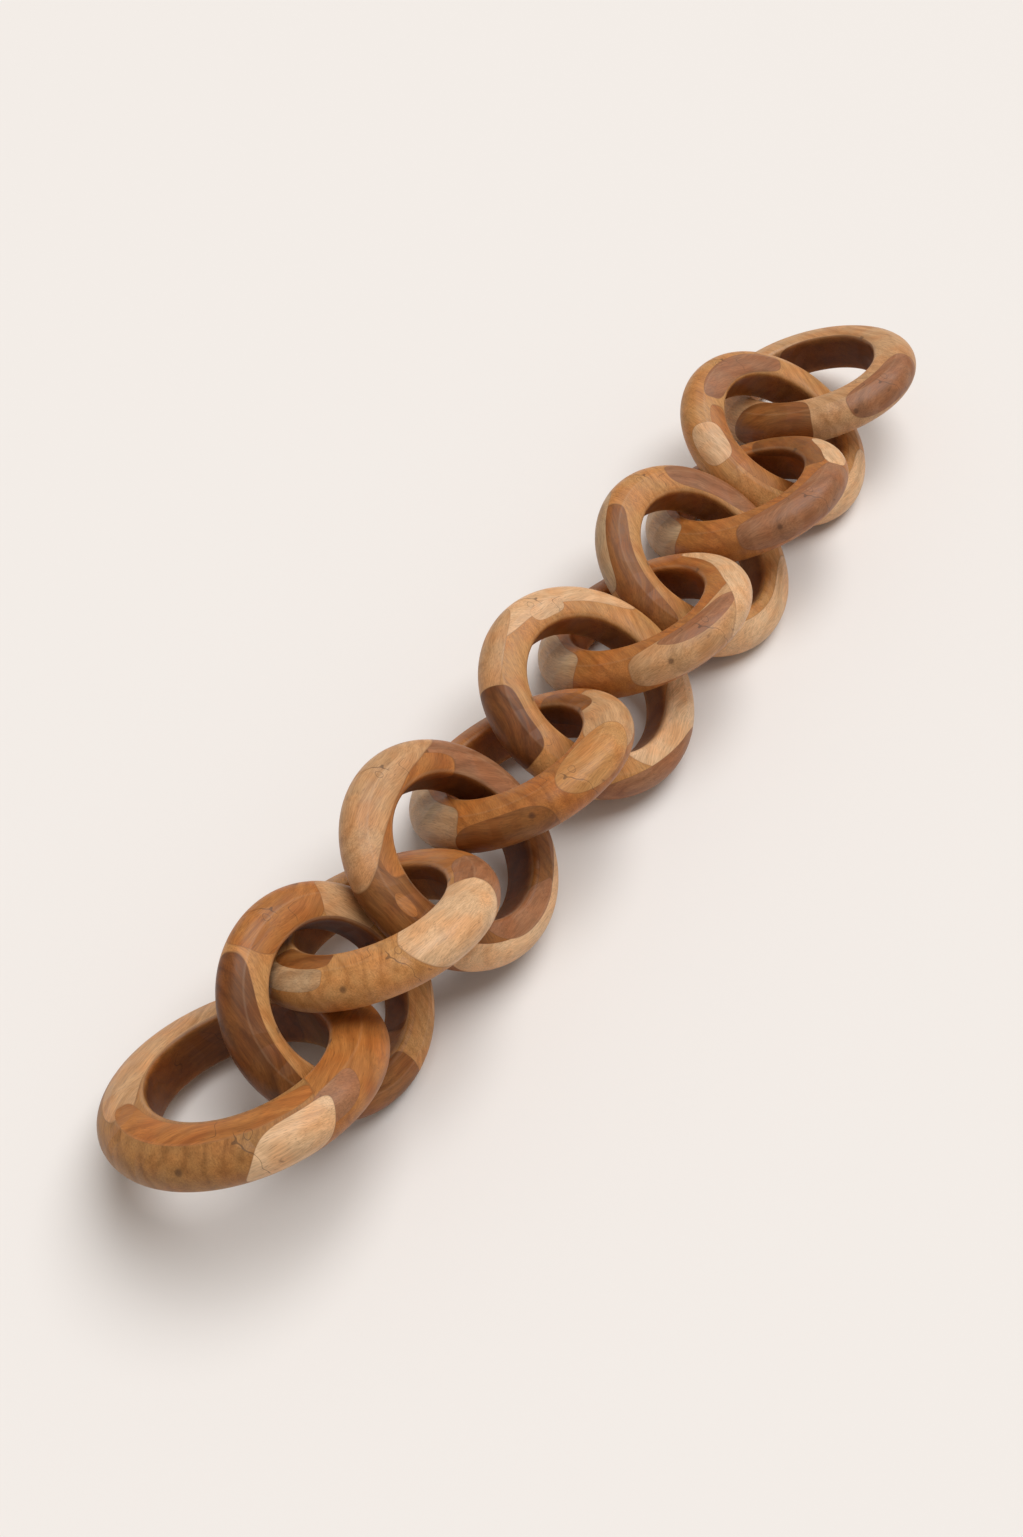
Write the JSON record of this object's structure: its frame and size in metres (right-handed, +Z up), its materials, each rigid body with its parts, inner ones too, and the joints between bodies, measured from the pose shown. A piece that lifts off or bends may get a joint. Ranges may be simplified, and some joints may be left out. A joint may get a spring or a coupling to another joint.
{
  "type": "wooden chain",
  "caption": "Decorative chain of fat interlocked wooden rings, each with a flat bore wall, side bands and a rounded outside, laid in a loose line.",
  "frame": {"origin": "on the surface under the middle of the laid chain's bounding box", "axes": "+Z up, +X along the chain from its front ring to its back ring, +Y to the left of that direction"},
  "size_m": [0.8162, 0.1526, 0.0966],
  "materials": {
    "wood": "satin, lightly waxed, hand carved"
  },
  "bodies": {
    "root": {"ring_01": "wood", "ring_02": "wood", "ring_03": "wood", "ring_04": "wood", "ring_05": "wood", "ring_06": "wood", "ring_07": "wood", "ring_08": "wood", "ring_09": "wood", "ring_10": "wood", "ring_11": "wood"}
  },
  "joints": []
}
